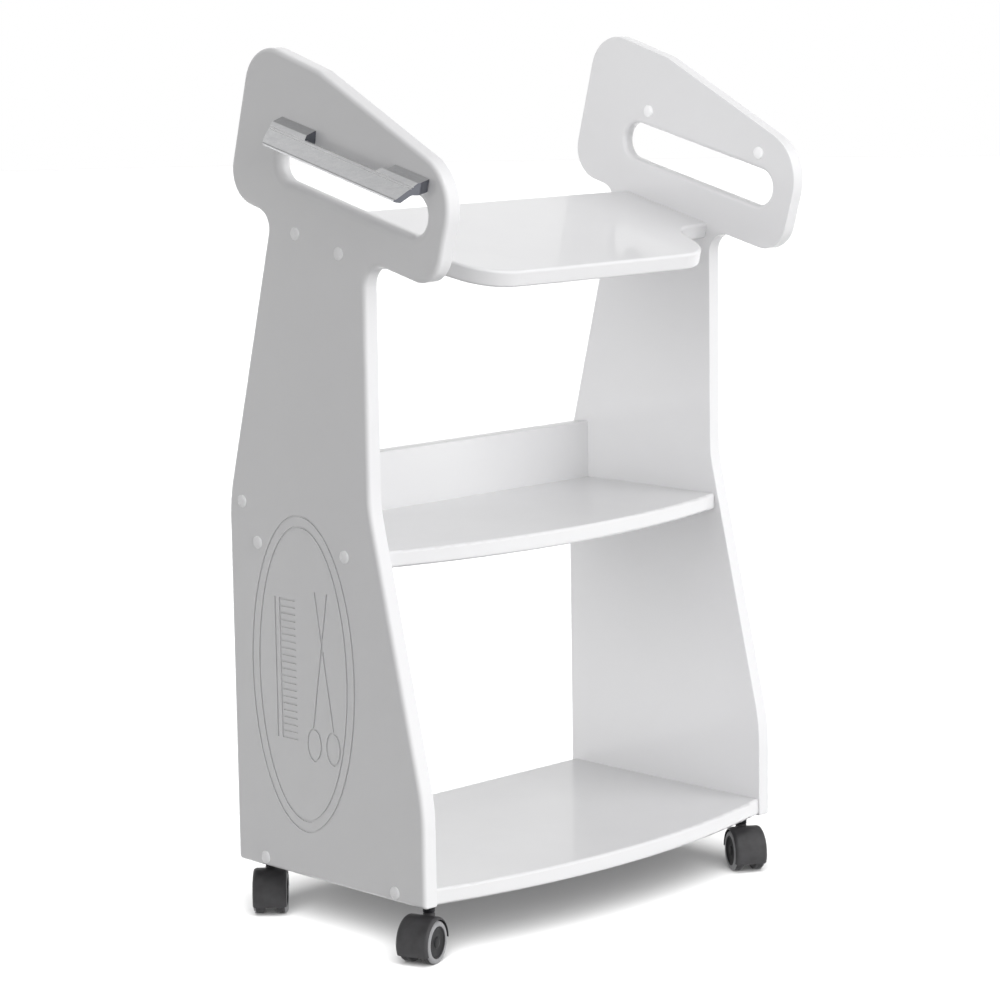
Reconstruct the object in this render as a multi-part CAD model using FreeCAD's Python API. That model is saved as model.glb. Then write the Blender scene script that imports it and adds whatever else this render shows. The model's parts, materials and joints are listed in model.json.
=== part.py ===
import FreeCAD, Part
import math
import os
from FreeCAD import Vector

# Rolling salon trolley: two routed side panels on four twin-wheel casters, a sloped top shelf,
# two level shelves, a back rail and an aluminium pull handle over each hand slot.
# Frame: X to the right, front of the trolley towards -Y, Z up, origin on the floor at the
# centre of the overall box. Panel outlines are drawn as (forward, up) from the panel's
# rear bottom corner.

# ---- driving dimensions, mm ----------------------------------------------------------------
WIDTH = 503.0                  # over the outer faces of the side panels
BOARD = 17.0                   # thickness of every board
CASTER_HEIGHT = 56.0           # floor to the underside of the side panels
PANEL_DEPTH = 278.6            # side panel at the floor end
NECK_FRONT = 210.4             # front edge of the narrow upper part
EAR_TILT = 14.5                # slope of hand slot, handle and top shelf, degrees
OUTER_ROUND = 4.5              # roundover of the panels' outer edges
INNER_ROUND = 1.0
SHELF_ROUND = 3.0

SLOT_CENTRE = (193.2, 688.6)   # hand slot, (forward, up)
SLOT_LENGTH = 212.0
SLOT_HEIGHT = 37.6
SLOT_ROUND = 9.0               # comfort roundover on the outer face
SLOT_INNER_ROUND = 4.5

HANDLE_CENTRE = (201.8, 721.9)
HANDLE_REAR = -108.5           # its ends, along the slope from HANDLE_CENTRE
HANDLE_FRONT = 105.0
HANDLE_PITCH = 160.0           # between its two screws

TOP_SHELF_POINT = (145.9, 642.5)   # a point of the sloped upper face, (forward, up)
MIDDLE_SHELF_TOP = 340.8
BOTTOM_SHELF_TOP = 17.9
RAIL_HEIGHT = 61.4
RAIL_REAR = 12.6               # rear face of the rail, forward of the panel's rear edge

GROOVE_WIDTH = 2.2
GROOVE_DEPTH = 1.3
OVAL_CENTRE = (107.7, 206.5)
OVAL_HALF = (77.3, 160.0)      # half width and half height of the outer line
OVAL_GAP = 10.7                # from the outer line to the inner one

CAP_DIAMETER = 13.0
CAP_THICKNESS = 2.4
SCREW_HEAD = 9.8               # confirmat screws of the carcass
SCREW_HEAD_DEPTH = 3.0
SCREW_SHANK = 6.8
SCREW_LENGTH = 48.0
DOWEL_DIAMETER = 8.0

HANDLE_SCREW = 4.0
HANDLE_SCREW_HEAD = 8.0
HANDLE_HEAD_DEPTH = 4.0
HANDLE_SCREW_REACH = 8.0       # into the handle's foot
HANDLE_REACH = 23.0            # how far the lip stands off the panel
HANDLE_FOOT = (-6.5, 6.0)      # lower and upper edge of the feet on the panel
HANDLE_KNEE = (11.5, 1.7)      # where the top facet turns down into the blade: outward, above
HANDLE_BEND = (14.0, -11.0)    # where the underside turns down into the blade
HANDLE_LIP = -21.0             # lowest line of the blade, measured square to the slope
LIP_START = (21.6, -18.2)      # where the blade's outer face meets the thicker lip
HANDLE_WEB = 2.6               # thickness of the blade
NOTCH_FLOOR = -3.2             # upper edge of the blade between the feet
NOTCH = (-57.0, 57.0)          # where the feet end

WHEEL_DIAMETER = 42.0
CASTER_WIDTH = 35.0
CASTER_TRAIL = 15.0            # stem axis to axle
FRONT_STEM_INSET = (24.0, 20.0)    # stem axis to the panel's outer face and to its front edge
REAR_STEM_INSET = (31.0, 14.0)
INSERT_DIAMETER = 11.0
INSERT_LENGTH = 13.0
STEM_DIAMETER = 8.0
PINTLE_DIAMETER = 7.0
PINTLE_END = 24.5              # its lower end, above the floor
COLLAR_DIAMETER = 12.0
AXLE_DIAMETER = 5.0
HUB_RADIUS = 15.8
HOOD_RADIUS = 25.0
HOOD_CAVITY = 22.2             # radius of the space for each wheel
HOUSING_HALF = 5.5             # half thickness of the web that carries the stem and axle

EAR_FRONT_REACH = 327.23       # foremost point of the panel, from its rear edge
REAR_OVERHANG = 4.52           # how far the rear casters reach behind the panels

HALF_WIDTH = WIDTH / 2
INNER_FACE = HALF_WIDTH - BOARD
PANEL_REAR_Y = (EAR_FRONT_REACH - REAR_OVERHANG) / 2
WHEEL_RADIUS = WHEEL_DIAMETER / 2
HOOD_TOP = WHEEL_RADIUS + HOOD_RADIUS
UNDERSIDE = CASTER_HEIGHT + BOTTOM_SHELF_TOP - BOARD     # of the bottom shelf
TILT = math.radians(EAR_TILT)
UP = Vector(0, 0, 1)
RIGHT = Vector(1, 0, 0)


# ---- helpers -------------------------------------------------------------------------------
def place(x, forward, up):
    """A point given across, forward of the panel's rear edge and above its underside."""
    return Vector(x, PANEL_REAR_Y - forward, CASTER_HEIGHT + up)


def rounded_wire(corners):
    """Closed wire through (point, radius) corners, each corner an arc tangent to its sides."""
    edges = []
    ends = []
    count = len(corners)
    for i, (corner, radius) in enumerate(corners):
        to_last = (corners[i - 1][0] - corner).normalize()
        to_next = (corners[(i + 1) % count][0] - corner).normalize()
        half_angle = to_last.getAngle(to_next) / 2
        reach = radius / math.tan(half_angle)
        start = corner + to_last * reach
        stop = corner + to_next * reach
        bisector = (to_last + to_next).normalize()
        middle = corner + bisector * (radius / math.sin(half_angle) - radius)
        ends.append((start, stop))
        if radius > 0:
            edges.append(Part.Arc(start, middle, stop).toShape())
    for i in range(count):
        start = ends[i - 1][1]
        stop = ends[i][0]
        if start.distanceToPoint(stop) > 1e-6:
            edges.append(Part.LineSegment(start, stop).toShape())
    return Part.Wire(Part.__sortEdges__(edges))


def prism(corners, direction):
    return Part.Face(rounded_wire(corners)).extrude(direction)


def rod(diameter, start, direction, length):
    return Part.makeCylinder(diameter / 2, length, start, direction)


def mirrored(shape):
    return shape.mirror(Vector(0, 0, 0), RIGHT)


def edges_at(shape, axis, value):
    """Edges that lie wholly in the plane where one coordinate has the given value."""
    found = []
    for edge in shape.Edges:
        box = edge.BoundBox
        low, high = {"x": (box.XMin, box.XMax), "z": (box.ZMin, box.ZMax)}[axis]
        if abs(low - value) < 0.01 and abs(high - value) < 0.01:
            found.append(edge)
    return found


def turned(profile, start, direction):
    """Solid of revolution from (radius, height) points, standing at start along direction."""
    points = [Vector(radius, 0, height) for radius, height in profile]
    face = Part.Face(Part.makePolygon(points + points[:1]))
    solid = face.revolve(Vector(0, 0, 0), UP, 360)
    solid.Placement = FreeCAD.Placement(start, FreeCAD.Rotation(UP, direction))
    return solid


def save(name, *solids):
    shape = solids[0] if len(solids) == 1 else Part.makeCompound(solids)
    shape.exportStep("parts/" + name + ".step")


# ---- directions of the sloped parts --------------------------------------------------------
ALONG = Vector(0, -math.cos(TILT), -math.sin(TILT))     # down the slope, towards the front
ABOVE = Vector(0, -math.sin(TILT), math.cos(TILT))      # square to the slope, upwards


def on_slope(centre, x, along, above):
    return place(x, *centre) + ALONG * along + ABOVE * above


# ---- side panels ---------------------------------------------------------------------------
PANEL_OUTLINE = [              # forward, up, corner radius
    (0, 0, 4), (PANEL_DEPTH, 0, 2), (PANEL_DEPTH, 99.5, 181), (NECK_FRONT, 383, 122),
    (NECK_FRONT, 621.7, 20), (307.2, 597.4, 30.4), (336.6, 701.2, 51.3), (152.8, 798.4, 29),
    (52.2, 830.3, 38), (10.5, 677, 34), (75, 658.7, 19.3), (0, 372.5, 155.5),
]

# Confirmat screws of one side: board it enters, (forward, up)
TOP_SHELF_SCREWS = (-32.3, 32.3)                 # along the slope from TOP_SHELF_POINT
SHELF_SCREWS = {
    "middle": [(43.7, MIDDLE_SHELF_TOP - BOARD / 2), (173.5, MIDDLE_SHELF_TOP - BOARD / 2)],
    "rail": [(RAIL_REAR + BOARD / 2, MIDDLE_SHELF_TOP + RAIL_HEIGHT / 2)],
    "bottom": [(43.3, BOTTOM_SHELF_TOP - BOARD / 2), (236.7, BOTTOM_SHELF_TOP - BOARD / 2)],
}


def screw_points():
    """Where the confirmat screws of the left side enter its outer face."""
    points = [on_slope(TOP_SHELF_POINT, -HALF_WIDTH, along, -BOARD / 2) for along in TOP_SHELF_SCREWS]
    for places in SHELF_SCREWS.values():
        points += [place(-HALF_WIDTH, forward, up) for forward, up in places]
    return points


def handle_screw_points(x):
    return [on_slope(HANDLE_CENTRE, x, side * HANDLE_PITCH / 2, 0) for side in (-1, 1)]


def hand_slot(clearance=0):
    half_length = SLOT_LENGTH / 2
    half_height = SLOT_HEIGHT / 2
    corners = [(-half_length, -half_height), (half_length, -half_height),
               (half_length, half_height), (-half_length, half_height)]
    points = [(on_slope(SLOT_CENTRE, -HALF_WIDTH - clearance, a, b), half_height - 0.01)
              for a, b in corners]
    return prism(points, RIGHT * (BOARD + 2 * clearance))


def routed_line(points):
    """Round-ended straight groove between two (forward, up) points of the outer face."""
    (f1, u1), (f2, u2) = points
    run = Vector(0, f1 - f2, u2 - u1).normalize()
    side = run.cross(RIGHT) * (GROOVE_WIDTH / 2)
    tip = run * (GROOVE_WIDTH / 2)
    a = place(-HALF_WIDTH, f1, u1) - tip
    b = place(-HALF_WIDTH, f2, u2) + tip
    corners = [(a + side, 0.7), (b + side, 0.7), (b - side, 0.7), (a - side, 0.7)]
    return prism(corners, RIGHT * GROOVE_DEPTH)


def routed_ring(centre, half_width, half_height):
    """Oval groove of the outer face; the outer line is at the half sizes given."""
    middle = place(-HALF_WIDTH, *centre)
    faces = []
    for shrink in (0, GROOVE_WIDTH):
        high = half_height - shrink
        wide = half_width - shrink
        tall = high >= wide
        first = middle + (UP * high if tall else Vector(0, wide, 0))
        second = middle + (Vector(0, wide, 0) if tall else UP * high)
        ellipse = Part.Ellipse(first, second, middle)
        faces.append(Part.Face(Part.Wire(ellipse.toShape())))
    return faces[0].cut(faces[1]).extrude(RIGHT * GROOVE_DEPTH)


def emblem():
    """Double oval with a plain comb and a pair of scissors, all as routed grooves."""
    grooves = [routed_ring(OVAL_CENTRE, *OVAL_HALF),
               routed_ring(OVAL_CENTRE, OVAL_HALF[0] - OVAL_GAP, OVAL_HALF[1] - OVAL_GAP)]
    spine = 75
    comb_low, comb_high, tooth, pitch = 140, 280, 22, 7
    grooves.append(routed_line([(spine, comb_low), (spine, comb_high)]))
    grooves.append(routed_line([(spine - 7, comb_low), (spine - 7, comb_high)]))
    for i in range(1 + (comb_high - comb_low) // pitch):
        up = comb_low + i * pitch
        grooves.append(routed_line([(spine, up), (spine + tooth, up)]))
    pivot = (137, 211)
    for side in (-1, 1):
        grooves.append(routed_line([(pivot[0] - side * 15, 155), (pivot[0] + side * 9, 291)]))
        grooves.append(routed_ring((pivot[0] + side * 14, 138), 11, 17))
    return grooves


def side_panel():
    """The left panel, with its outer face at -HALF_WIDTH."""
    corners = [(place(-HALF_WIDTH, forward, up), radius) for forward, up, radius in PANEL_OUTLINE]
    panel = prism(corners, RIGHT * BOARD)
    panel = panel.makeFillet(OUTER_ROUND, edges_at(panel, "x", -HALF_WIDTH))
    panel = panel.makeFillet(INNER_ROUND, edges_at(panel, "x", -INNER_FACE))
    panel = panel.cut(hand_slot(1))
    reach = SLOT_LENGTH / 2 + 1
    centre = place(0, *SLOT_CENTRE)
    for x, radius in ((-HALF_WIDTH, SLOT_ROUND), (-INNER_FACE, SLOT_INNER_ROUND)):
        rim = [edge for edge in edges_at(panel, "x", x)
               if Vector(0, edge.CenterOfMass.y, edge.CenterOfMass.z).distanceToPoint(centre) < reach]
        panel = panel.makeFillet(radius, rim)
    tools = [screw_hole(point) for point in screw_points()]
    for point in handle_screw_points(-INNER_FACE):
        tools.append(rod(HANDLE_SCREW_HEAD + 0.4, point, -RIGHT, HANDLE_HEAD_DEPTH))
        tools.append(rod(HANDLE_SCREW + 0.4, point, -RIGHT, BOARD))
    return panel.cut(tools + emblem())


# ---- fasteners and their caps --------------------------------------------------------------
def screw_hole(point):
    """Bore for a confirmat screw of the left side: counterbore, cone and clearance hole."""
    wide = SCREW_HEAD / 2 + 0.1
    thin = SCREW_SHANK / 2 + 0.1
    end = SCREW_LENGTH + 1
    profile = [(0, 0), (wide, 0), (wide, SCREW_HEAD_DEPTH), (thin, SCREW_HEAD_DEPTH + 2),
               (thin, end), (0, end)]
    return turned(profile, point, RIGHT)


def confirmat(point):
    """Confirmat screw with a hexagon socket in its head, which sits just below the face."""
    wide = SCREW_HEAD / 2
    thin = SCREW_SHANK / 2
    sunk = 0.3
    profile = [(0, sunk), (wide, sunk), (wide, SCREW_HEAD_DEPTH), (thin, SCREW_HEAD_DEPTH + 2),
               (thin, SCREW_LENGTH - 4), (1.5, SCREW_LENGTH), (0, SCREW_LENGTH)]
    body = turned(profile, point, RIGHT)
    return body.cut(hex_socket(4.0, 3.0, point + RIGHT * sunk, RIGHT))


def hex_socket(across_flats, depth, start, direction):
    radius = across_flats / math.sqrt(3)
    angles = [math.radians(60 * i) for i in range(7)]
    points = [Vector(radius * math.cos(a), radius * math.sin(a), 0) for a in angles]
    socket = Part.Face(Part.makePolygon(points)).extrude(UP * depth)
    socket.Placement = FreeCAD.Placement(start, FreeCAD.Rotation(UP, direction))
    return socket


def cover_cap(point, outward, peg_depth=2.4):
    """Domed cap on the face, with a peg that pushes into the screw's socket."""
    radius = CAP_DIAMETER / 2
    rim = 0.5
    steps = 6
    crown = []
    for i in range(steps + 1):
        angle = math.pi / 2 * i / steps
        crown.append((radius * math.cos(angle), rim + (CAP_THICKNESS - rim) * math.sin(angle)))
    dome = turned([(0, 0), (radius, 0)] + crown, point, outward)
    return dome.fuse(rod(3.2, point, -outward, peg_depth))


def handle_screw(point):
    """Pan-head screw that goes outwards through the left panel into the handle."""
    start = point - RIGHT * 0.6
    head = turned([(0, 0), (3.2, 0), (HANDLE_SCREW_HEAD / 2, 0.8),
                   (HANDLE_SCREW_HEAD / 2, HANDLE_HEAD_DEPTH - 0.6), (0, HANDLE_HEAD_DEPTH - 0.6)],
                  start, -RIGHT)
    shank = rod(HANDLE_SCREW, point, -RIGHT, BOARD + HANDLE_SCREW_REACH)
    shank = shank.cut(rod(20, point, -RIGHT, 1))
    return head.fuse(shank).cut(hex_socket(3.6, 2.2, start, -RIGHT))


# ---- shelves and rail ----------------------------------------------------------------------
def level_shelf(top, rear, front, bow):
    """Board with straight rear and ends and a bowed front, its front edges rounded over."""
    low = top - BOARD
    rear_left = place(-INNER_FACE, rear, low)
    rear_right = place(INNER_FACE, rear, low)
    front_right = place(INNER_FACE, front, low)
    front_left = place(-INNER_FACE, front, low)
    nose = place(0, front + bow, low)
    wire = Part.Wire([
        Part.LineSegment(rear_left, rear_right).toShape(),
        Part.LineSegment(rear_right, front_right).toShape(),
        Part.Arc(front_right, nose, front_left).toShape(),
        Part.LineSegment(front_left, rear_left).toShape(),
    ])
    shelf = Part.Face(wire).extrude(UP * BOARD)
    front_edges = [edge for edge in shelf.Edges if edge.Curve.TypeId == "Part::GeomCircle"]
    return shelf.makeFillet(SHELF_ROUND, front_edges)


def bottom_shelf():
    shelf = level_shelf(BOTTOM_SHELF_TOP, rear=5, front=276.7, bow=32.5)
    holes = both_sides([screw_hole(point) for point in screw_points()[-2:]])
    holes += [rod(INSERT_DIAMETER, Vector(x, y, UNDERSIDE), UP, INSERT_LENGTH) for x, y in stem_places()]
    return shelf.cut(holes)


def middle_shelf():
    shelf = level_shelf(MIDDLE_SHELF_TOP, rear=RAIL_REAR, front=216, bow=37)
    holes = both_sides([screw_hole(point) for point in screw_points()[2:4]])
    return shelf.cut(holes + rail_dowels())


def both_sides(shapes):
    return shapes + [mirrored(shape) for shape in shapes]


TOP_REAR = -56.0               # plan of the top shelf, along the slope from TOP_SHELF_POINT
TOP_SHOULDER = 63.8            # front edge at the panels
TOP_NECK = (180.0, 68.3)       # where it turns forward: across, along
TOP_CORNER = (156.0, 144.8)    # rounded corner of the part that reaches forward
TOP_BOW = 1.5


def top_shelf():
    """Sloped board: full width between the panels, then a narrower bowed part in front."""
    def at(x, along):
        return on_slope(TOP_SHELF_POINT, x, along, -BOARD)
    half = [(at(INNER_FACE, TOP_REAR), 0), (at(INNER_FACE, TOP_SHOULDER), 0),
            (at(*TOP_NECK), 40), (at(*TOP_CORNER), 50), (at(60, TOP_CORNER[1] + TOP_BOW), 300)]
    other = [(Vector(-point.x, point.y, point.z), radius) for point, radius in reversed(half)]
    shelf = prism(half + other, ABOVE * BOARD)
    shoulder = on_slope(TOP_SHELF_POINT, 0, TOP_SHOULDER, 0)
    front_edges = []
    for edge in shelf.Edges:
        middle = edge.CenterOfMass
        square = abs(edge.tangentAt(edge.FirstParameter).dot(ABOVE)) > 0.99
        ahead = (middle - shoulder).dot(ALONG) > -0.1
        if ahead and not square:
            front_edges.append(edge)
    shelf = shelf.makeFillet(SHELF_ROUND, front_edges)
    return shelf.cut(both_sides([screw_hole(point) for point in screw_points()[:2]]))


def back_rail():
    low = place(-INNER_FACE, RAIL_REAR + BOARD, MIDDLE_SHELF_TOP)
    rail = Part.makeBox(2 * INNER_FACE, BOARD, RAIL_HEIGHT, low)
    top = CASTER_HEIGHT + MIDDLE_SHELF_TOP + RAIL_HEIGHT
    long_edges = [edge for edge in edges_at(rail, "z", top) if edge.Length > BOARD + 1]
    rail = rail.makeFillet(2.0, long_edges)
    return rail.cut(both_sides([screw_hole(screw_points()[4])]) + rail_dowels())


def rail_dowels():
    """Beech dowels between the rail and the middle shelf under it."""
    depth = 11.0
    starts = [place(x, RAIL_REAR + BOARD / 2, MIDDLE_SHELF_TOP - depth) for x in (-140, 0, 140)]
    return [rod(DOWEL_DIAMETER, start, UP, 2.5 * depth) for start in starts]


# ---- pull handle ---------------------------------------------------------------------------
def at_handle(outward, above, along=0):
    return on_slope(HANDLE_CENTRE, -HALF_WIDTH - outward, along, above)


def handle():
    """Left handle: an extruded profile, its top milled away between two feet."""
    knee_out, knee_above = HANDLE_KNEE
    foot_low, foot_high = HANDLE_FOOT
    section = [(0, foot_low, 0), (0, foot_high, 0.6), (knee_out, knee_above, 1.2),
               (*LIP_START, 0.4), (HANDLE_REACH, HANDLE_LIP + 2.2, 0.7),
               (HANDLE_REACH, HANDLE_LIP + 0.4, 0.3), (HANDLE_REACH - 1.0, HANDLE_LIP, 0.3),
               (LIP_START[0] - HANDLE_WEB, HANDLE_LIP + 0.6, 0.5), (*HANDLE_BEND, 3.0)]
    corners = [(at_handle(outward, above, HANDLE_REAR), radius) for outward, above, radius in section]
    bar = prism(corners, ALONG * (HANDLE_FRONT - HANDLE_REAR))
    plan = [(0, HANDLE_REAR - 1, 0), (0, HANDLE_FRONT, 1.0), (knee_out - 1, HANDLE_FRONT - 1, 3.0),
            (HANDLE_REACH, HANDLE_FRONT - 20, 3.0), (HANDLE_REACH, HANDLE_REAR - 1, 0)]
    corners = [(at_handle(outward, 30, along), radius) for outward, along, radius in plan]
    bar = bar.common(prism(corners, ABOVE * -60))
    side = [(HANDLE_FRONT + 1, 8, 0), (HANDLE_REAR, 8, 0), (HANDLE_REAR, HANDLE_LIP - 1, 9),
            (HANDLE_FRONT + 1, HANDLE_LIP - 1, 0)]
    corners = [(at_handle(-1, above, along), radius) for along, above, radius in side]
    bar = bar.common(prism(corners, -RIGHT * (HANDLE_REACH + 2)))
    bar = bar.cut(handle_notch())
    for above in (NOTCH_FLOOR + 0.1, NOTCH_FLOOR - 2.0):
        bar = bar.cut(handle_groove(above))
    starts = handle_screw_points(-HALF_WIDTH)
    return bar.cut([rod(HANDLE_SCREW, start, -RIGHT, HANDLE_SCREW_REACH) for start in starts])


def handle_notch():
    """What is milled away between the feet: the top, and the back down to the blade."""
    rear, front = NOTCH
    top = [(NOTCH_FLOOR, rear, 0), (12, rear - 2, 0), (12, front + 4, 0), (NOTCH_FLOOR, front - 11, 6)]
    corners = [(at_handle(-1, above, along), radius) for above, along, radius in top]
    top_cut = prism(corners, -RIGHT * (HANDLE_REACH + 2))
    back = [(-1, rear, 0), (-1, front, 0), (11.1, front, 3), (11.1, rear, 3)]
    corners = [(at_handle(outward, -30, along), radius) for outward, along, radius in back]
    return top_cut.fuse(prism(corners, ABOVE * 60))


def handle_groove(above):
    """Fine decorative line along the blade, 0.6 mm deep."""
    knee_out, knee_above = HANDLE_KNEE
    slope = (LIP_START[0] - knee_out) / (knee_above - LIP_START[1])
    outward = knee_out + (knee_above - above) * slope
    return rod(1.2, at_handle(outward, above, HANDLE_REAR), ALONG, HANDLE_FRONT - HANDLE_REAR)


# ---- casters -------------------------------------------------------------------------------
# Caster name: side, end, and the direction in which its wheels trail, degrees from +X
CASTERS = {
    "front_left": (-1, 1, 200.0),
    "front_right": (1, 1, 238.6),
    "rear_left": (-1, -1, 226.0),
    "rear_right": (1, -1, 250.0),
}


def stem_place(side, end):
    across, inset = FRONT_STEM_INSET if end > 0 else REAR_STEM_INSET
    forward = PANEL_DEPTH - inset if end > 0 else inset
    return side * (HALF_WIDTH - across), PANEL_REAR_Y - forward


def stem_places():
    return [stem_place(side, end) for side, end, trail in CASTERS.values()]


def insert(x, y):
    """Threaded sleeve set into the underside of the bottom shelf."""
    sleeve = rod(INSERT_DIAMETER, Vector(x, y, UNDERSIDE), UP, INSERT_LENGTH)
    return sleeve.cut(rod(STEM_DIAMETER, Vector(x, y, UNDERSIDE), UP, INSERT_LENGTH))


# A caster is drawn with its stem on the Z axis, its wheels trailing along +X, its axle along Y.
def stem():
    collar_low = HOOD_TOP + 0.4
    radius = PINTLE_DIAMETER / 2
    return turned([(0, PINTLE_END), (radius - 0.6, PINTLE_END), (radius, PINTLE_END + 0.8),
                   (radius, collar_low), (COLLAR_DIAMETER / 2, collar_low),
                   (COLLAR_DIAMETER / 2, UNDERSIDE), (STEM_DIAMETER / 2, UNDERSIDE),
                   (STEM_DIAMETER / 2, UNDERSIDE + 11), (STEM_DIAMETER / 2 - 1, UNDERSIDE + 12),
                   (0, UNDERSIDE + 12)], Vector(0, 0, 0), UP)


def hood():
    """Cover over both wheels, with the web between them and the boss for the stem."""
    axle = Vector(CASTER_TRAIL, 0, WHEEL_RADIUS)
    half_width = CASTER_WIDTH / 2

    def rim(degrees):
        a = math.radians(degrees)
        return axle + Vector(HOOD_RADIUS * math.cos(a), -half_width, HOOD_RADIUS * math.sin(a))
    base = axle - Vector(0, half_width, 0)
    low, high = -25, 180
    sector = Part.Face(Part.Wire([
        Part.LineSegment(base, rim(low)).toShape(),
        Part.Arc(rim(low), rim((low + high) / 2), rim(high)).toShape(),
        Part.LineSegment(rim(high), base).toShape(),
    ])).extrude(Vector(0, CASTER_WIDTH, 0))
    round_edges = [edge for edge in sector.Edges if edge.Curve.TypeId == "Part::GeomCircle"]
    sector = sector.makeFillet(2.0, round_edges)
    web = rod(32, axle - Vector(0, HOUSING_HALF, 0), Vector(0, 1, 0), 2 * HOUSING_HALF)
    boss = turned([(0, PINTLE_END - 3), (6.5, PINTLE_END - 3), (6.5, HOOD_TOP - 1), (5.5, HOOD_TOP),
                   (0, HOOD_TOP)], Vector(0, 0, 0), UP)
    body = sector.fuse([web, boss])
    for side in (-1, 1):
        start = axle + Vector(0, side * HOUSING_HALF, 0)
        body = body.cut(rod(2 * HOOD_CAVITY, start, Vector(0, side, 0), CASTER_WIDTH))
    body = body.cut(rod(AXLE_DIAMETER, axle - Vector(0, 20, 0), Vector(0, 1, 0), 40))
    bore = rod(PINTLE_DIAMETER + 0.1, Vector(0, 0, PINTLE_END - 0.5), UP, 40)
    return body.cut(bore).removeSplitter()


def axle_pin():
    length = CASTER_WIDTH - 7
    return rod(AXLE_DIAMETER, Vector(CASTER_TRAIL, -length / 2, WHEEL_RADIUS), Vector(0, 1, 0), length)


def wheel_hub(side):
    """Dark wheel centre with a shallow dished face; its bore is closed on the outside."""
    inner = HOUSING_HALF + 0.5
    outer = CASTER_WIDTH / 2
    bore = AXLE_DIAMETER / 2 + 0.05
    bore_end = outer - 3.2
    return turned([(bore, inner), (HUB_RADIUS, inner), (HUB_RADIUS, outer - 0.9),
                   (HUB_RADIUS - 0.8, outer - 0.9), (HUB_RADIUS - 1.6, outer - 1.7),
                   (HUB_RADIUS - 3.0, outer - 1.7), (6.0, outer - 0.9), (0, outer - 0.7),
                   (0, bore_end), (bore, bore_end)],
                  Vector(CASTER_TRAIL, 0, WHEEL_RADIUS), Vector(0, side, 0))


def wheel_tyre(side):
    """Soft grey ring round the hub, its shoulders rounded."""
    inner = HOUSING_HALF + 0.7
    outer = CASTER_WIDTH / 2
    start = Vector(CASTER_TRAIL, 0, WHEEL_RADIUS)
    ring = turned([(HUB_RADIUS, inner), (WHEEL_RADIUS, inner), (WHEEL_RADIUS, outer), (HUB_RADIUS, outer)],
                  start, Vector(0, side, 0))
    shoulders = [edge for edge in ring.Edges
                 if edge.Curve.TypeId == "Part::GeomCircle" and edge.Curve.Radius > WHEEL_RADIUS - 0.1]
    return ring.makeFillet(1.8, shoulders)


def build_caster(name, side, end, trail):
    x, y = stem_place(side, end)
    pieces = {
        "stem": stem(), "hood": hood(), "axle": axle_pin(),
        "hub_a": wheel_hub(1), "tyre_a": wheel_tyre(1), "hub_b": wheel_hub(-1), "tyre_b": wheel_tyre(-1),
    }
    turn = FreeCAD.Placement(Vector(x, y, 0), FreeCAD.Rotation(UP, trail))
    for piece, shape in pieces.items():
        shape.Placement = turn.multiply(shape.Placement)
        save("caster_" + name + "_" + piece, shape)


# ---- everything ----------------------------------------------------------------------------
def build():
    os.makedirs("parts", exist_ok=True)
    left_panel = side_panel()
    save("left_side_panel", left_panel)
    save("right_side_panel", mirrored(left_panel))
    save("top_shelf", top_shelf())
    save("middle_shelf", middle_shelf())
    save("bottom_shelf", bottom_shelf())
    save("back_rail", back_rail())
    save("rail_dowels", *rail_dowels())

    save("confirmat_screws", *both_sides([confirmat(point) for point in screw_points()]))
    caps = [cover_cap(point, -RIGHT) for point in screw_points()]
    save("left_cover_caps", *caps)
    save("right_cover_caps", *[mirrored(cap) for cap in caps])

    left_handle = handle()
    save("left_handle", left_handle)
    save("right_handle", mirrored(left_handle))
    bolts = [handle_screw(point) for point in handle_screw_points(-INNER_FACE)]
    save("handle_screws", *both_sides(bolts))
    bolt_caps = [cover_cap(point, RIGHT, 1.8) for point in handle_screw_points(-INNER_FACE)]
    save("handle_screw_caps", *both_sides(bolt_caps))

    save("caster_inserts", *[insert(x, y) for x, y in stem_places()])
    for name, (side, end, trail) in CASTERS.items():
        build_caster(name, side, end, trail)


build()
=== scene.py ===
"""Looks of the rolling salon trolley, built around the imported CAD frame. Lengths are in metres."""

import json
import math

import bmesh
import bpy
from mathutils import Matrix, Vector


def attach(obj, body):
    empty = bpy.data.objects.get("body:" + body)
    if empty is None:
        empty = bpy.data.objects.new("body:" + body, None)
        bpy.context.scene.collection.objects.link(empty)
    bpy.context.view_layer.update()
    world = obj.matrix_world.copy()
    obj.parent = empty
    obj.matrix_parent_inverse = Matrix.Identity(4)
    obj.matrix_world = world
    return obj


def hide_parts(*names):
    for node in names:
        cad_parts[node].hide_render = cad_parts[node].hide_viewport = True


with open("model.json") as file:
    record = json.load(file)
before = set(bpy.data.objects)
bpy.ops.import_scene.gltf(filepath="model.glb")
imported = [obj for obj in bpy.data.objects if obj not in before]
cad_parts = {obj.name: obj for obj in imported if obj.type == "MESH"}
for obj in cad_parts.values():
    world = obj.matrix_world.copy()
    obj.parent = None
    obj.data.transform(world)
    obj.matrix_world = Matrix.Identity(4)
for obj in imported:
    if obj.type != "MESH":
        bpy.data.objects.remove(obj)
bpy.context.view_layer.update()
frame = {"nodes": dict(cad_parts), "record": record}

MM = 0.001
NODES = frame["nodes"]
JOINTS = {joint["name"]: joint for joint in frame["record"]["behaviour"]["joints"]}
CASTERS = ("front_left", "front_right", "rear_left", "rear_right")
SLOPE = math.radians(14.5)         # of the handles, hand slots and top shelf
# faces of the handles that point this way get painted shade
DOWN_SLOPE = (0.0, -math.cos(SLOPE), -math.sin(SLOPE))

# ---- camera --------------------------------------------------------------------------------
CAMERA_AZIMUTH = -44.08            # degrees, to the left of straight in front
CAMERA_ELEVATION = 9.05
CAMERA_ROLL = -0.866
CAMERA_PLACE = (-2.2854, -2.3301, 0.9327)
LENS = 116.44
SENSOR = 36.0

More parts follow.
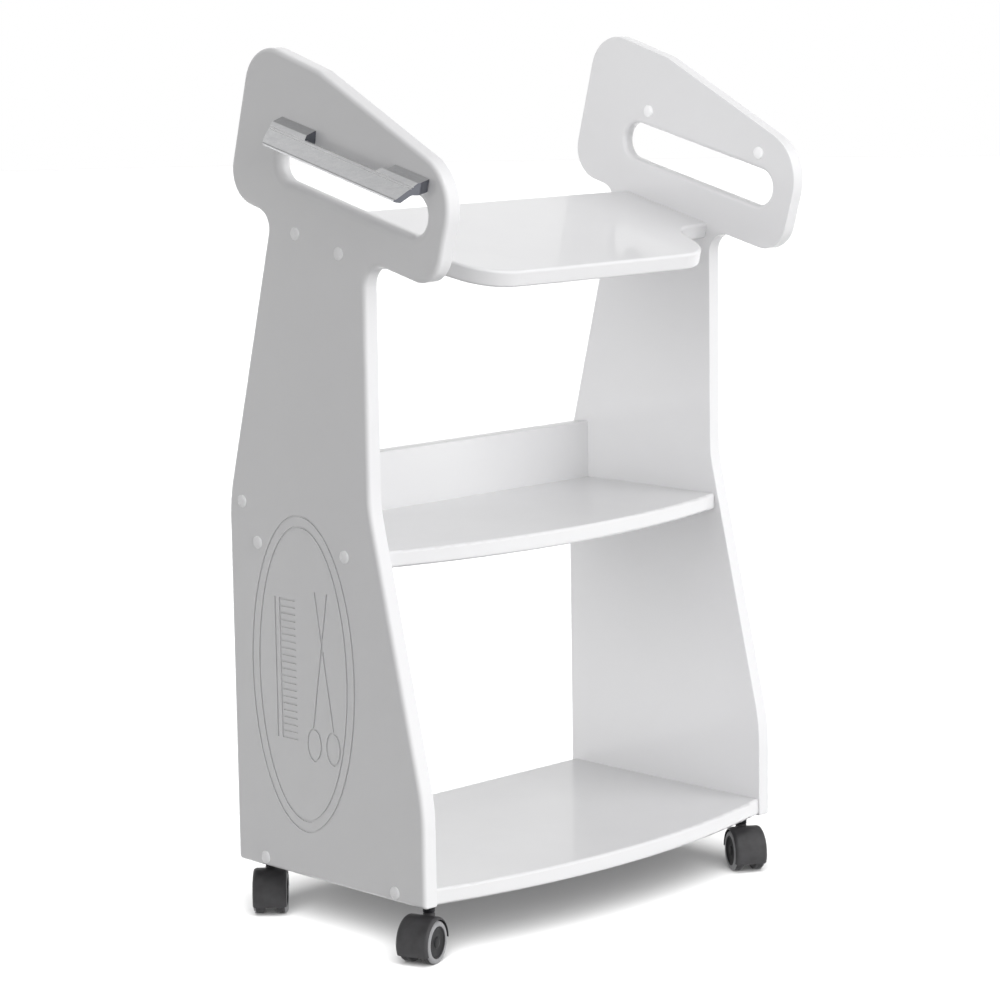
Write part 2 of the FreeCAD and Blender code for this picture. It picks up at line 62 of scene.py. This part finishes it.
# ---- caster sizes --------------------------------------------------------------------------
WHEEL_RADIUS = 21.0 * MM
TYRE_SIDES = (6.2 * MM, 17.3 * MM)     # inner and outer side of a wheel, from the caster's middle
RING_DEPTH = 2.4 * MM                  # how far the pale ring reaches over the tyre's shoulder
HUB_RADIUS = 15.8 * MM
HOOD_RADIUS = 25.0 * MM
HOOD_INSIDE = 22.2 * MM
HOOD_HALF = 17.5 * MM
HOOD_CORNER = 4.0 * MM
HOOD_ANGLES = (-25.0, 180.0)           # from the trailing side over the top to the stem's side
WEB_HALF = 5.5 * MM
WEB_RADIUS = 16.0 * MM
BOSS_RADIUS = 5.9 * MM                 # clear of the wheels on both sides
STEM_BORE = 3.56 * MM                  # radius
BOSS_SIDES = 48
TURNS = 96                             # steps round a full circle

ROOM_RADIUS = 14.0
WALL_HEIGHT = 11.0


# ---- mesh helpers --------------------------------------------------------------------------
def new_object(name, mesh_builder, material, smooth_angle=35.0):
    """Object whose mesh comes from a bmesh, smooth except at edges sharper than the angle."""
    mesh_builder.normal_update()
    mesh = bpy.data.meshes.new(name)
    mesh_builder.to_mesh(mesh)
    mesh_builder.free()
    mesh.materials.append(material)
    mesh.shade_smooth()
    mesh.set_sharp_from_angle(angle=math.radians(smooth_angle))
    piece = bpy.data.objects.new(name, mesh)
    bpy.context.scene.collection.objects.link(piece)
    return piece


def arc(centre, radius, start, stop, steps):
    """Points (across, out) of an arc, angles in degrees."""
    angles = [math.radians(start + (stop - start) * i / steps) for i in range(steps + 1)]
    return [(centre[0] + radius * math.cos(a), centre[1] + radius * math.sin(a)) for a in angles]


def lathe(builder, profile, first=0.0, last=360.0):
    """Sweeps a closed (across, out) profile about the local Y axis; capped if not a full turn."""
    full = last - first >= 360.0
    steps = max(8, round(TURNS * (last - first) / 360.0))
    rings = []
    for i in range(steps if full else steps + 1):
        a = math.radians(first + (last - first) * i / steps)
        ring = [builder.verts.new((out * math.cos(a), across, out * math.sin(a)))
                for across, out in profile]
        rings.append(ring)
    count = len(profile)
    pairs = list(zip(rings, rings[1:])) + ([(rings[-1], rings[0])] if full else [])
    for one, other in pairs:
        for k in range(count):
            n = (k + 1) % count
            builder.faces.new((one[k], one[n], other[n], other[k]))
    if not full:
        builder.faces.new(rings[0][::-1])
        builder.faces.new(rings[-1])


def extrude_outline(builder, outline, half):
    """Plate of an (x, z) outline, from -half to +half along Y, with bevelled rims."""
    rim = 0.5 * MM
    levels = ((-half, rim), (-half + rim, 0.0), (half - rim, 0.0), (half, rim))
    centre = Vector((sum(x for x, z in outline), sum(z for x, z in outline))) / len(outline)
    rings = []
    for across, inset in levels:
        ring = []
        for x, z in outline:
            point = Vector((x, z))
            point += (centre - point).normalized() * inset
            ring.append(builder.verts.new((point.x, across, point.y)))
        rings.append(ring)
    for one, other in zip(rings, rings[1:]):
        for k in range(len(outline)):
            n = (k + 1) % len(outline)
            builder.faces.new((one[k], one[n], other[n], other[k]))
    builder.faces.new(rings[0][::-1])
    builder.faces.new(rings[-1])


def outward(builder):
    bmesh.ops.recalc_face_normals(builder, faces=builder.faces)


# ---- material helpers ----------------------------------------------------------------------
class Look:
    """A Principled material under construction, with its noise and bump nodes."""

    def __init__(self, name, **constants):
        self.material = bpy.data.materials.new(name)
        self.material.use_nodes = True
        self.tree = self.material.node_tree
        self.shader = self.tree.nodes["Principled BSDF"]
        for socket, value in constants.items():
            self.shader.inputs[socket.replace("_", " ")].default_value = value
        self.coordinates = self.tree.nodes.new("ShaderNodeTexCoord").outputs["Object"]

    def node(self, kind, inputs=(), **settings):
        made = self.tree.nodes.new("ShaderNode" + kind)
        for key, value in settings.items():
            setattr(made, key, value)
        for socket, value in dict(inputs).items():
            if isinstance(value, bpy.types.NodeSocket):
                self.tree.links.new(value, made.inputs[socket])
            else:
                made.inputs[socket].default_value = value
        return made

    def noise(self, scale, detail=3.0, rough=0.5, vector=None):
        made = self.node("TexNoise", {"Vector": vector or self.coordinates, "Scale": scale,
                                      "Detail": detail, "Roughness": rough})
        return made.outputs["Fac"]

    def stretched(self, scale, tilt=0.0):
        """Object coordinates turned about X and scaled differently along each axis."""
        made = self.node("Mapping", {"Vector": self.coordinates, "Rotation": (tilt, 0.0, 0.0)})
        made = self.node("Mapping", {"Vector": made.outputs["Vector"], "Scale": scale})
        return made.outputs["Vector"]

    def ramp(self, factor, low, high):
        """Linear map of a factor from 0.35..0.65, where noise mostly lies, to low..high."""
        made = self.node("MapRange", {"Value": factor, "From Min": 0.35, "From Max": 0.65,
                                      "To Min": low, "To Max": high})
        return made.outputs["Result"]

    def edges(self, radius):
        """1 on convex and concave edges, 0 on flat faces."""
        bevel = self.node("Bevel", {"Radius": radius}, samples=4)
        plain = self.node("NewGeometry").outputs["Normal"]
        dot = self.node("VectorMath", {0: bevel.outputs["Normal"], 1: plain}, operation="DOT_PRODUCT")
        made = self.node("MapRange", {"Value": dot.outputs["Value"], "From Min": 1.0,
                                      "From Max": 0.85, "To Min": 0.0, "To Max": 1.0})
        return made.outputs["Result"]

    def product(self, one, other):
        return self.node("Math", {0: one, 1: other}, operation="MULTIPLY").outputs["Value"]

    def facing(self, direction):
        """1 on flat ends that face the direction, 0 on faces that run along it."""
        normal = self.node("TexCoord").outputs["Normal"]
        dot = self.node("VectorMath", {0: normal, 1: direction}, operation="DOT_PRODUCT")
        made = self.node("MapRange", {"Value": dot.outputs["Value"], "From Min": 0.35, "From Max": 0.50})
        return made.outputs["Result"]

    def blend(self, factor, one, other):
        """Colour between two colours or colour sockets."""
        made = self.node("Mix", data_type="RGBA")
        colour_inputs = [s for s in made.inputs if s.type == "RGBA"]
        pairs = ((made.inputs["Factor"], factor), (colour_inputs[0], one), (colour_inputs[1], other))
        for socket, value in pairs:
            if isinstance(value, bpy.types.NodeSocket):
                self.tree.links.new(value, socket)
            elif socket.type == "RGBA":
                socket.default_value = (*value, 1.0)
            else:
                socket.default_value = value
        return [s for s in made.outputs if s.type == "RGBA"][0]

    def bump(self, height, distance, strength=1.0, under=None):
        inputs = {"Height": height, "Distance": distance, "Strength": strength}
        if under is not None:
            inputs["Normal"] = under
        return self.node("Bump", inputs).outputs["Normal"]

    def drive(self, socket, value):
        self.tree.links.new(value, self.shader.inputs[socket])


def scaled(colour, factor, lift=0.0):
    return tuple(min(1.0, factor * c + lift) for c in colour)


def lacquer(name, pale, deep, roughness):
    """Sprayed gloss lacquer on board: faint cloudiness, orange peel, a painted highlight that makes the
    edges paler in patches, a clear coat.
    """
    look = Look(name, Specular_IOR_Level=0.4, Coat_Weight=0.55, Coat_Roughness=0.07)
    clouds = look.noise(3.5, detail=4.0)
    handling = look.noise(14.0, detail=5.0, rough=0.6)
    colour = look.blend(look.ramp(clouds, 0.0, 1.0), pale, deep)
    # painted highlight: convex and concave edges painted paler than the faces, in patches
    painted_edge_highlight = look.product(look.edges(1.6 * MM), look.ramp(handling, 0.1, 0.6))
    colour = look.blend(painted_edge_highlight, colour, scaled(pale, 1.06))
    look.drive("Base Color", colour)
    look.drive("Roughness", look.ramp(handling, roughness - 0.02, roughness + 0.04))
    waves = look.bump(look.noise(25.0, detail=1.0), 0.2 * MM, 0.1)
    look.drive("Normal", look.bump(look.noise(700.0, detail=2.0), 0.03 * MM, 0.2, waves))
    return look.material


def brushed_aluminium(name):
    """Satin anodised extrusion with fine lines that run along the handle, a painted highlight on its
    edges and painted shade on its ends that face forward and down.
    """
    look = Look(name, Metallic=1.0, Anisotropic=0.45)
    lines = look.noise(1.0, detail=5.0, rough=0.7, vector=look.stretched((2500.0, 18.0, 2500.0), SLOPE))
    broad = look.noise(1.0, detail=2.0, vector=look.stretched((420.0, 6.0, 420.0), SLOPE))
    colour = look.blend(look.ramp(lines, 0.0, 1.0), (0.53, 0.535, 0.545), (0.67, 0.67, 0.675))
    colour = look.blend(look.ramp(broad, 0.0, 0.35), colour, (0.47, 0.475, 0.49))
    # painted highlight: every edge of the extrusion painted pale grey
    colour = look.blend(look.edges(0.8 * MM), colour, (0.80, 0.80, 0.80))
    # painted shade: faces that point forward and down the slope painted near black
    colour = look.blend(look.facing(DOWN_SLOPE), colour, (0.15, 0.155, 0.175))
    look.drive("Base Color", colour)
    look.drive("Roughness", look.ramp(lines, 0.30, 0.44))
    look.drive("Normal", look.bump(lines, 0.03 * MM, 0.5))
    return look.material


def moulded(name, dark, light, roughness, grain, bump_height=0.06 * MM, gloss=0.5):
    """Injection-moulded plastic with a fine spark-eroded texture, its edges painted paler in patches,
    partly rubbing wear and partly painted edge highlight.
    """
    look = Look(name, Specular_IOR_Level=gloss)
    patches = look.noise(90.0, detail=3.0)
    texture = look.noise(grain, detail=2.0)
    colour = look.blend(look.ramp(patches, 0.0, 1.0), dark, light)
    # edges painted paler in patches: partly rubbing wear, partly painted highlight that goes to white on
    # the caps
    wear_and_edge_highlight = look.product(look.edges(0.7 * MM), look.ramp(patches, 0.25, 0.8))
    colour = look.blend(wear_and_edge_highlight, colour, scaled(light, 1.8, 0.02))
    look.drive("Base Color", colour)
    look.drive("Roughness", look.ramp(patches, roughness - 0.06, roughness + 0.08))
    look.drive("Normal", look.bump(texture, bump_height, 0.35))
    return look.material


def rubber(name, dark, light):
    """Soft grey tread with scuffs and picked-up dust."""
    look = Look(name, Specular_IOR_Level=0.3, Sheen_Weight=0.15, Sheen_Roughness=0.5)
    dust = look.noise(140.0, detail=4.0, rough=0.65)
    scuffs = look.noise(1.0, detail=3.0, vector=look.stretched((900.0, 900.0, 120.0)))
    colour = look.blend(look.ramp(dust, 0.0, 1.0), dark, light)
    colour = look.blend(look.ramp(scuffs, 0.0, 0.3), colour, scaled(dark, 0.7))
    look.drive("Base Color", colour)
    look.drive("Roughness", look.ramp(dust, 0.55, 0.75))
    look.drive("Normal", look.bump(look.noise(1500.0), 0.05 * MM, 0.4))
    return look.material


def plated_steel(name, dark, light, roughness):
    look = Look(name, Metallic=1.0)
    spangle = look.noise(300.0, detail=3.0)
    colour = look.blend(look.ramp(spangle, 0.0, 1.0), dark, light)
    # painted highlight: edges of the screws and stems painted lighter than their faces
    look.drive("Base Color", look.blend(look.edges(0.4 * MM), colour, scaled(light, 1.4)))
    look.drive("Roughness", look.ramp(spangle, roughness - 0.06, roughness + 0.1))
    look.drive("Normal", look.bump(look.noise(900.0), 0.02 * MM, 0.4))
    return look.material


def wood(name):
    """Bare beech with its flecks, seen only on the dowels."""
    look = Look(name, Specular_IOR_Level=0.3)
    grain = look.noise(1.0, detail=5.0, rough=0.6, vector=look.stretched((500.0, 500.0, 40.0)))
    colour = look.blend(look.ramp(grain, 0.0, 1.0), (0.50, 0.34, 0.20), (0.66, 0.49, 0.32))
    look.drive("Base Color", colour)
    look.drive("Roughness", look.ramp(grain, 0.5, 0.65))
    look.drive("Normal", look.bump(grain, 0.1 * MM, 0.5))
    return look.material


LOOKS = {
    "white_board": lacquer("white_lacquer", (0.735, 0.735, 0.742), (0.715, 0.713, 0.724), 0.32),
    "beech": wood("beech"),
    "satin_aluminium": brushed_aluminium("brushed_aluminium"),
    "zinc_steel": plated_steel("zinc_plate", (0.50, 0.51, 0.53), (0.64, 0.65, 0.67), 0.34),
    "black_steel": plated_steel("black_oxide", (0.015, 0.015, 0.017), (0.035, 0.035, 0.038), 0.42),
    "charcoal_plastic": moulded("charcoal_plastic", (0.034, 0.033, 0.035), (0.048, 0.047, 0.050), 0.44,
                                1400.0, gloss=0.4),
    "hub_plastic": moulded("hub_plastic", (0.012, 0.012, 0.013), (0.018, 0.018, 0.020), 0.50, 1100.0,
                           gloss=0.2),
    "grey_tyre": rubber("grey_tyre", (0.27, 0.27, 0.28), (0.35, 0.35, 0.36)),
    "white_cap": moulded("white_cap", (0.90, 0.90, 0.91), (0.94, 0.94, 0.95), 0.25, 900.0, 0.02 * MM),
}

TREAD = rubber("dark_tread", (0.035, 0.035, 0.037), (0.055, 0.055, 0.058))


def paint_frame():
    """Gives every CAD node the look of its material slot."""
    for subpart in frame["record"]["subparts"]:
        mesh = NODES[subpart["node"]].data
        mesh.materials.clear()
        mesh.materials.append(LOOKS[subpart["material_slot"]])


# ---- casters -------------------------------------------------------------------------------
def caster_matrix(name):
    """Local frame of a caster: origin on the axle, X trailing, Y along the axle, Z up."""
    axle = JOINTS[name + "_roll_a"]
    origin = Vector(axle["pos_m"])
    across = Vector(axle["axis"]).normalized()
    up = Vector((0.0, 0.0, 1.0))
    trail = across.cross(up)
    rotation = Matrix((trail, across, up)).transposed()
    return Matrix.Translation(origin) @ rotation.to_4x4()


def stem_offset(name):
    """How far the stem stands from the axle, along the trailing direction (negative)."""
    away = Vector(JOINTS[name + "_swivel"]["pos_m"]) - Vector(JOINTS[name + "_roll_a"]["pos_m"])
    return -math.hypot(away.x, away.y)


def place(piece, name, body, slot, *nodes):
    piece.data.transform(caster_matrix(name))
    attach(piece, body)
    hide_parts(*nodes)


def tyre_profile(side):
    """Section of a tyre: rounded shoulders and two fine grooves round the tread."""
    inner, outer = TYRE_SIDES
    shoulder = 3.2 * MM
    groove = 0.45 * MM
    crown = WHEEL_RADIUS
    points = [(inner, HUB_RADIUS)]
    points += arc((inner + 1.5 * MM, crown - 1.5 * MM), 1.5 * MM, 180, 90, 5)
    for middle in (0.38, 0.62):
        at = inner + (outer - inner) * middle
        points += [(at - 0.45 * MM, crown), (at - 0.25 * MM, crown - groove),
                   (at + 0.25 * MM, crown - groove), (at + 0.45 * MM, crown)]
    points += arc((outer - shoulder, crown - shoulder), shoulder, 90, 0, 8)
    points += [(outer, HUB_RADIUS + 0.5 * MM), (outer - 0.5 * MM, HUB_RADIUS)]
    return [(side * across, out) for across, out in points]


def hub_profile(side):
    """Section of a hub: raised rim, dished face and a small centre boss."""
    inner, outer = TYRE_SIDES
    bore = 2.55 * MM
    rim = HUB_RADIUS - 0.02 * MM
    points = [(inner, bore), (inner, rim), (outer - 0.9 * MM, rim)]
    points += arc((outer - 0.9 * MM, rim - 0.5 * MM), 0.5 * MM, 90, 0, 4)
    points += [(outer - 0.4 * MM, rim - 1.5 * MM), (outer - 1.3 * MM, rim - 2.3 * MM),
               (outer - 1.9 * MM, 9.0 * MM), (outer - 1.7 * MM, 5.6 * MM), (outer - 0.7 * MM, 4.9 * MM)]
    points += [(outer - 0.45 * MM, 4.2 * MM), (outer - 0.3 * MM, 2.0 * MM), (outer - 0.3 * MM, 0.05 * MM),
               (outer - 3.0 * MM, 0.05 * MM), (outer - 3.0 * MM, bore)]
    return [(side * across, out) for across, out in points]


def wheel(name, letter, side):
    body = "%s_wheel_%s" % (name, letter)
    for kind, profile, slot in (("tyre", tyre_profile, "grey_tyre"), ("hub", hub_profile, "hub_plastic")):
        builder = bmesh.new()
        lathe(builder, profile(side))
        outward(builder)
        piece = new_object("%s_%s_%s_look" % (name, kind, letter), builder, LOOKS[slot])
        if kind == "tyre":
            darken_tread(piece.data)
        place(piece, name, body, slot, "caster_%s_%s_%s" % (name, kind, letter))


def darken_tread(mesh):
    """Tread and shoulders in dark rubber; the outer side of the tyre stays a pale ring."""
    mesh.materials.append(TREAD)
    edge = TYRE_SIDES[1] - RING_DEPTH
    for face in mesh.polygons:
        if abs(face.center.y) < edge:
            face.material_index = 1


def hood_section():
    """Section of the hood's rim: rounded outside, thin at both edges, hollow inside."""
    corner = (HOOD_HALF - HOOD_CORNER, HOOD_RADIUS - HOOD_CORNER)
    right = arc(corner, HOOD_CORNER, 90, 20, 8)
    lip = [(HOOD_HALF - 0.2 * MM, HOOD_INSIDE), (HOOD_HALF - 1.0 * MM, HOOD_INSIDE)]
    half = [(0.0, HOOD_RADIUS)] + right + lip
    left = [(-across, out) for across, out in reversed(half[1:])]
    return half + left


def hood(name):
    builder = bmesh.new()
    first, last = HOOD_ANGLES
    lathe(builder, hood_section(), first, last)
    web = arc((0.0, 0.0), HOOD_INSIDE + 0.6 * MM, first, last, 60)
    web += arc((0.0, 0.0), WEB_RADIUS, last + 8, 360 + first - 8, 40)
    extrude_outline(builder, web, WEB_HALF)
    boss = stem_offset(name)
    top = HOOD_RADIUS
    levels = ((2.5 * MM, BOSS_RADIUS), (top - 1.6 * MM, BOSS_RADIUS),
              (top - 0.8 * MM, BOSS_RADIUS - 0.3 * MM), (top, BOSS_RADIUS - 1.2 * MM),
              (top, STEM_BORE), (4.0 * MM, STEM_BORE))
    rings = []
    for height, radius in levels:
        ring = []
        for i in range(BOSS_SIDES):
            a = 2 * math.pi * i / BOSS_SIDES
            ring.append(builder.verts.new((boss + radius * math.cos(a), radius * math.sin(a), height)))
        rings.append(ring)
    for one, other in zip(rings, rings[1:]):
        for k in range(BOSS_SIDES):
            n = (k + 1) % BOSS_SIDES
            builder.faces.new((one[k], one[n], other[n], other[k]))
    builder.faces.new(rings[0][::-1])
    builder.faces.new(rings[-1])
    outward(builder)
    piece = new_object(name + "_hood_look", builder, LOOKS["charcoal_plastic"])
    place(piece, name, name + "_caster", "charcoal_plastic", "caster_%s_hood" % name)


# ---- room, lights and camera ---------------------------------------------------------------
def ring_of(builder, radius, height):
    turns = [2 * math.pi * i / TURNS for i in range(TURNS)]
    return [builder.verts.new((radius * math.cos(a), radius * math.sin(a), height)) for a in turns]


def room():
    """Plain pale floor, and far round it a plain white wall that the metal reflects."""
    look = Look("studio_floor", Roughness=0.9, Specular_IOR_Level=0.1)
    shade = look.ramp(look.noise(1.2), 0.0, 1.0)
    look.drive("Base Color", look.blend(shade, (0.58, 0.58, 0.58), (0.60, 0.60, 0.60)))
    builder = bmesh.new()
    builder.faces.new(ring_of(builder, ROOM_RADIUS, 0.0))
    floor = new_object("floor", builder, look.material)
    wall_look = Look("studio_wall", Roughness=1.0, Specular_IOR_Level=0.0, Emission_Strength=1.0,
                     Emission_Color=(1.0, 1.0, 1.0, 1.0), Base_Color=(0.0, 0.0, 0.0, 1.0))
    builder = bmesh.new()
    rings = [ring_of(builder, ROOM_RADIUS, height) for height in (0.0, WALL_HEIGHT)]
    for k in range(TURNS):
        n = (k + 1) % TURNS
        builder.faces.new((rings[0][k], rings[0][n], rings[1][n], rings[1][k]))
    wall = new_object("wall", builder, wall_look.material)
    wall.visible_shadow = False
    wall.visible_diffuse = False
    floor.visible_diffuse = False
    return floor


def sun(name, towards, share, softness):
    """Distant soft light; a white face square to it gets the given share of full white."""
    light = bpy.data.lights.new(name, "SUN")
    light.energy = share * math.pi
    light.angle = math.radians(softness)
    lamp = bpy.data.objects.new(name, light)
    lamp.rotation_mode = "QUATERNION"
    lamp.rotation_quaternion = Vector(towards).to_track_quat("Z", "Y")
    bpy.context.scene.collection.objects.link(lamp)
    return lamp


def linked(name, state, *pieces):
    """Collection that tells a light which pieces it reaches (INCLUDE) or passes by (EXCLUDE)."""
    group = bpy.data.collections.new(name)
    for piece in pieces:
        group.objects.link(piece)
    for member in group.collection_objects:
        member.light_linking.link_state = state
    return group


def lights(floor):
    """Soft suns: the floor has a light of its own, and the right panel's inner face has a fill."""
    world = bpy.data.worlds.new("studio")
    world.use_nodes = True
    background = world.node_tree.nodes["Background"]
    background.inputs["Color"].default_value = (1.0, 1.0, 1.0, 1.0)
    background.inputs["Strength"].default_value = 0.455
    bpy.context.scene.world = world
    sun("top", (0.05, -0.30, 1.0), share=0.15, softness=60.0)
    key = sun("key", (0.22, -0.90, 0.30), share=0.86, softness=70.0)
    key.light_linking.receiver_collection = linked("key_passes", "EXCLUDE", floor)
    ground = sun("ground", (-0.45, -0.55, 0.70), share=2.40, softness=60.0)
    ground.light_linking.receiver_collection = linked("ground_reaches", "INCLUDE", floor)
    tall = [NODES[name] for name in ("left_side_panel", "right_side_panel", "top_shelf", "middle_shelf",
                                     "back_rail", "left_handle", "right_handle")]
    ground.light_linking.blocker_collection = linked("ground_passes", "EXCLUDE", *tall)
    fill = sun("fill", (-1.0, 0.0, 0.15), share=0.38, softness=40.0)
    inside = [NODES[name] for name in ("right_side_panel", "handle_screw_caps")]
    fill.light_linking.receiver_collection = linked("fill_reaches", "INCLUDE", *inside)
    shelves = [NODES[name] for name in ("top_shelf", "middle_shelf", "bottom_shelf")]
    fill.light_linking.blocker_collection = linked("fill_shaded_by", "INCLUDE", *shelves)


def camera():
    data = bpy.data.cameras.new("camera")
    data.lens = LENS
    data.sensor_width = SENSOR
    data.clip_end = 100.0
    viewer = bpy.data.objects.new("camera", data)
    azimuth = math.radians(CAMERA_AZIMUTH)
    elevation = math.radians(CAMERA_ELEVATION)
    back = Vector((math.sin(azimuth) * math.cos(elevation), -math.cos(azimuth) * math.cos(elevation),
                   math.sin(elevation)))
    right = Vector((0.0, 0.0, 1.0)).cross(back).normalized()
    level = Matrix((right, back.cross(right), back)).transposed()
    turned = level @ Matrix.Rotation(math.radians(CAMERA_ROLL), 3, "Z")
    viewer.matrix_world = Matrix.Translation(CAMERA_PLACE) @ turned.to_4x4()
    bpy.context.scene.collection.objects.link(viewer)
    bpy.context.scene.camera = viewer


def build():
    paint_frame()
    for name in CASTERS:
        hood(name)
        wheel(name, "a", 1)
        wheel(name, "b", -1)
    lights(room())
    camera()
    bpy.context.scene.view_settings.view_transform = "Standard"


build()
